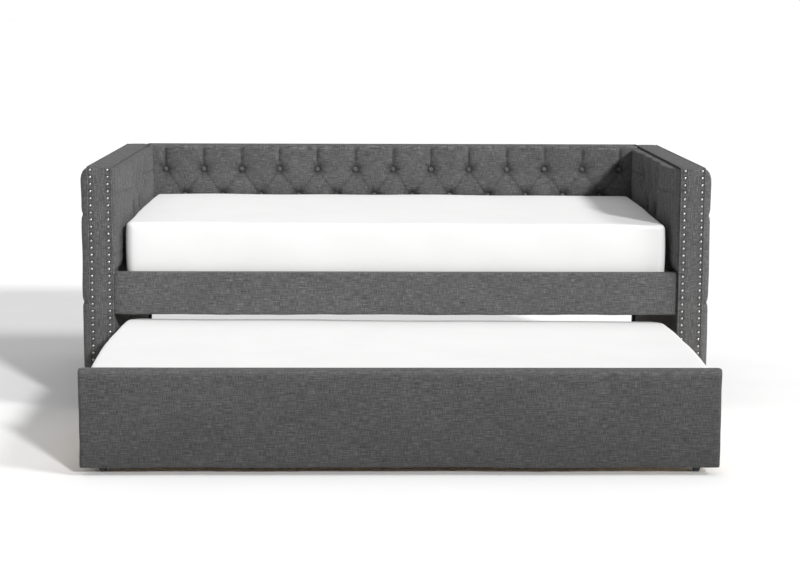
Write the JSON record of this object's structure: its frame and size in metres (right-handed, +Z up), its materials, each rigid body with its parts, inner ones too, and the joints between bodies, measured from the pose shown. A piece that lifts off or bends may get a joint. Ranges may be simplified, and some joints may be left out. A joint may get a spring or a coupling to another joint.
{
  "type": "trundle bed",
  "caption": "Upholstered daybed with padded arms, a button-tufted back and nail-trimmed fronts, over a low trundle bed on casters that rolls out from underneath.",
  "frame": {"origin": "middle of the footprint on the floor, with the trundle rolled out as in the picture", "axes": "+X to the right seen from the front, +Y from the front to the back, +Z up"},
  "size_m": [2.18, 2.088, 0.855],
  "materials": {
    "charcoal_linen": "heathered linen weave, matt",
    "white_ticking": "smooth knitted mattress cover, matt",
    "softwood": "planed softwood, unfinished",
    "plywood": "plywood sheet, unfinished",
    "slat_wood": "sanded birch, clear sealed",
    "webbing": "woven tape, matt",
    "black_plastic": "moulded, matt",
    "black_steel": "powder coated, satin",
    "zinc_steel": "zinc plated, satin",
    "nickel_nail": "nickel plated, bright"
  },
  "bodies": {
    "daybed_frame": {"left_arm_front_post": "softwood", "left_arm_rear_post": "softwood", "left_arm_top_rail": "softwood", "left_arm_bottom_rail": "softwood", "left_arm_inner_pad": "charcoal_linen", "left_arm_outer_pad": "charcoal_linen", "left_arm_border": "charcoal_linen", "left_front_glide": "black_plastic", "left_rear_glide": "black_plastic", "right_arm_front_post": "softwood", "right_arm_rear_post": "softwood", "right_arm_top_rail": "softwood", "right_arm_bottom_rail": "softwood", "right_arm_inner_pad": "charcoal_linen", "right_arm_outer_pad": "charcoal_linen", "right_arm_border": "charcoal_linen", "right_front_glide": "black_plastic", "right_rear_glide": "black_plastic", "back_top_rail": "softwood", "back_bottom_rail": "softwood", "back_board": "plywood", "back_tufted_pad": "charcoal_linen", "back_rear_cover": "charcoal_linen", "front_rail_cover": "charcoal_linen", "front_rail_core": "softwood", "front_cleat": "softwood", "back_cleat": "softwood", "front_left_bracket": "black_steel", "front_right_bracket": "black_steel", "upper_slat_01": "slat_wood", "upper_slat_02": "slat_wood", "upper_slat_03": "slat_wood", "upper_slat_04": "slat_wood", "upper_slat_05": "slat_wood", "upper_slat_06": "slat_wood", "upper_slat_07": "slat_wood", "upper_slat_08": "slat_wood", "upper_slat_09": "slat_wood", "upper_slat_10": "slat_wood"},
    "upper_mattress": {"upper_mattress": "white_ticking"},
    "trundle": {"trundle_panel_cover": "charcoal_linen", "trundle_panel_board": "plywood", "trundle_left_rail": "softwood", "trundle_right_rail": "softwood", "trundle_front_beam": "softwood", "trundle_back_beam": "softwood", "trundle_slat_roll": "slat_wood", "trundle_mattress": "white_ticking", "front_left_caster_bracket": "black_steel", "front_left_caster_axle": "zinc_steel", "front_right_caster_bracket": "black_steel", "front_right_caster_axle": "zinc_steel", "rear_left_caster_bracket": "black_steel", "rear_left_caster_axle": "zinc_steel", "rear_right_caster_bracket": "black_steel", "rear_right_caster_axle": "zinc_steel"},
    "front_left_wheel": {"front_left_caster_wheel": "black_plastic"},
    "front_right_wheel": {"front_right_caster_wheel": "black_plastic"},
    "rear_left_wheel": {"rear_left_caster_wheel": "black_plastic"},
    "rear_right_wheel": {"rear_right_caster_wheel": "black_plastic"}
  },
  "joints": [
    {"name": "upper_mattress_lift", "type": "slide", "parent": "daybed_frame", "child": "upper_mattress", "axis": [0, 0, 1], "range_m": [0, 0.4]},
    {"name": "trundle_slide", "type": "slide", "parent": "daybed_frame", "child": "trundle", "axis": [0, -1, 0], "range_m": [-0.943, 0.3]},
    {"name": "front_left_roll", "type": "hinge", "parent": "trundle", "child": "front_left_wheel", "pos_m": [-0.905, -0.9737, 0.025], "axis": [1, 0, 0], "continuous": true},
    {"name": "front_right_roll", "type": "hinge", "parent": "trundle", "child": "front_right_wheel", "pos_m": [0.905, -0.9737, 0.025], "axis": [1, 0, 0], "continuous": true},
    {"name": "rear_left_roll", "type": "hinge", "parent": "trundle", "child": "rear_left_wheel", "pos_m": [-0.905, -0.039, 0.025], "axis": [1, 0, 0], "continuous": true},
    {"name": "rear_right_roll", "type": "hinge", "parent": "trundle", "child": "rear_right_wheel", "pos_m": [0.905, -0.039, 0.025], "axis": [1, 0, 0], "continuous": true}
  ],
  "couplings": [
    {"joint": "front_left_roll", "follows": "trundle_slide", "rad_per_m": 40},
    {"joint": "front_right_roll", "follows": "trundle_slide", "rad_per_m": 40},
    {"joint": "rear_left_roll", "follows": "trundle_slide", "rad_per_m": 40},
    {"joint": "rear_right_roll", "follows": "trundle_slide", "rad_per_m": 40}
  ]
}
